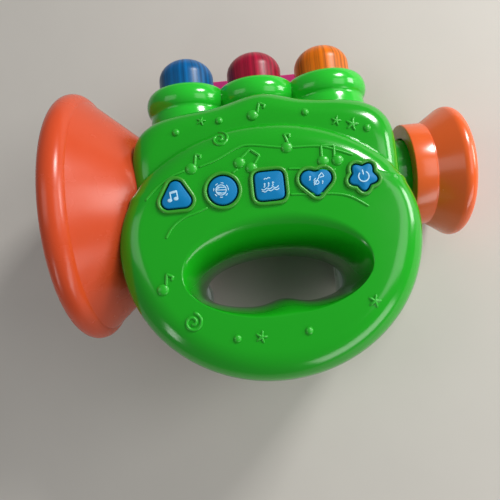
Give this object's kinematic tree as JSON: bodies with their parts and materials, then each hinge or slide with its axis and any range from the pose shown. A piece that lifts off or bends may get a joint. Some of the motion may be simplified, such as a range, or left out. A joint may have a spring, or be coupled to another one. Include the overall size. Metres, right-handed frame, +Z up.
{
  "type": "toy trumpet",
  "caption": "Moulded toy trumpet with a handle hole, flared horn, cup mouthpiece, sprung valve caps and shaped push buttons, lying on its back.",
  "frame": {"origin": "middle of the footprint, on the surface that the toy lies on", "axes": "+X from the horn to the mouthpiece, level; +Y from the handle to the valves; +Z up. The toy lies on its back and leans 9.05 degrees about Y, because the horn is wider than the mouthpiece."},
  "size_m": [0.1771, 0.143, 0.1058],
  "materials": {
    "green": "glossy moulded plastic",
    "orange": "glossy moulded plastic",
    "magenta": "glossy moulded plastic",
    "blue": "satin moulded plastic",
    "cap_blue": "translucent moulded plastic",
    "cap_crimson": "translucent moulded plastic",
    "cap_orange": "translucent moulded plastic",
    "white": "satin moulded plastic",
    "rubber": "matt silicone rubber",
    "board": "printed board",
    "steel": "plated steel",
    "lamp": "clear moulded plastic",
    "black": "paper and pressed frame",
    "cell": "plain jacket"
  },
  "bodies": {
    "body": {"front_shell": "green", "rear_shell": "green", "valve_block": "green", "lead_pipe": "green", "horn": "orange", "mouthpiece": "orange", "valve_back_plate": "magenta", "valve_board": "board", "main_board": "board", "button_mat": "rubber", "speaker_cover": "white", "speaker": "black", "battery_box": "white", "battery_door": "white", "battery_cell_1": "cell", "battery_cell_2": "cell", "contact_link": "steel", "contact_plus": "steel", "contact_minus": "steel", "door_screw": "steel", "valve_spring_blue": "steel", "valve_led_blue": "lamp", "valve_spring_crimson": "steel", "valve_led_crimson": "lamp", "valve_spring_orange": "steel", "valve_led_orange": "lamp", "case_screw_1": "steel", "case_screw_2": "steel", "case_screw_3": "steel", "case_screw_4": "steel", "case_screw_5": "steel"},
    "cap_blue": {"valve_cap_blue": "cap_blue"},
    "cap_crimson": {"valve_cap_crimson": "cap_crimson"},
    "cap_orange": {"valve_cap_orange": "cap_orange"},
    "press_triangle": {"button_triangle": "blue"},
    "press_circle": {"button_circle": "blue"},
    "press_square": {"button_square": "blue"},
    "press_heart": {"button_heart": "blue"},
    "press_star": {"button_star": "blue"}
  },
  "joints": [
    {"name": "valve_blue_press", "type": "slide", "parent": "body", "child": "cap_blue", "axis": [0, -1, 0], "range_m": [0, 0.005], "stiffness_N_per_m": 250, "springref_m": -0.003, "deforming": ["valve_spring_blue"]},
    {"name": "valve_crimson_press", "type": "slide", "parent": "body", "child": "cap_crimson", "axis": [0, -1, 0], "range_m": [0, 0.005], "stiffness_N_per_m": 250, "springref_m": -0.003, "deforming": ["valve_spring_crimson"]},
    {"name": "valve_orange_press", "type": "slide", "parent": "body", "child": "cap_orange", "axis": [0, -1, 0], "range_m": [0, 0.005], "stiffness_N_per_m": 250, "springref_m": -0.003, "deforming": ["valve_spring_orange"]},
    {"name": "button_triangle_press", "type": "slide", "parent": "body", "child": "press_triangle", "axis": [-0.1573, 0, -0.9875], "range_m": [0, 0.0015], "stiffness_N_per_m": 500, "springref_m": -0.001},
    {"name": "button_circle_press", "type": "slide", "parent": "body", "child": "press_circle", "axis": [-0.1573, 0, -0.9875], "range_m": [0, 0.0015], "stiffness_N_per_m": 500, "springref_m": -0.001},
    {"name": "button_square_press", "type": "slide", "parent": "body", "child": "press_square", "axis": [-0.1573, 0, -0.9875], "range_m": [0, 0.0015], "stiffness_N_per_m": 500, "springref_m": -0.001},
    {"name": "button_heart_press", "type": "slide", "parent": "body", "child": "press_heart", "axis": [-0.1573, 0, -0.9875], "range_m": [0, 0.0015], "stiffness_N_per_m": 500, "springref_m": -0.001},
    {"name": "button_star_press", "type": "slide", "parent": "body", "child": "press_star", "axis": [-0.1573, 0, -0.9875], "range_m": [0, 0.0015], "stiffness_N_per_m": 500, "springref_m": -0.001}
  ]
}
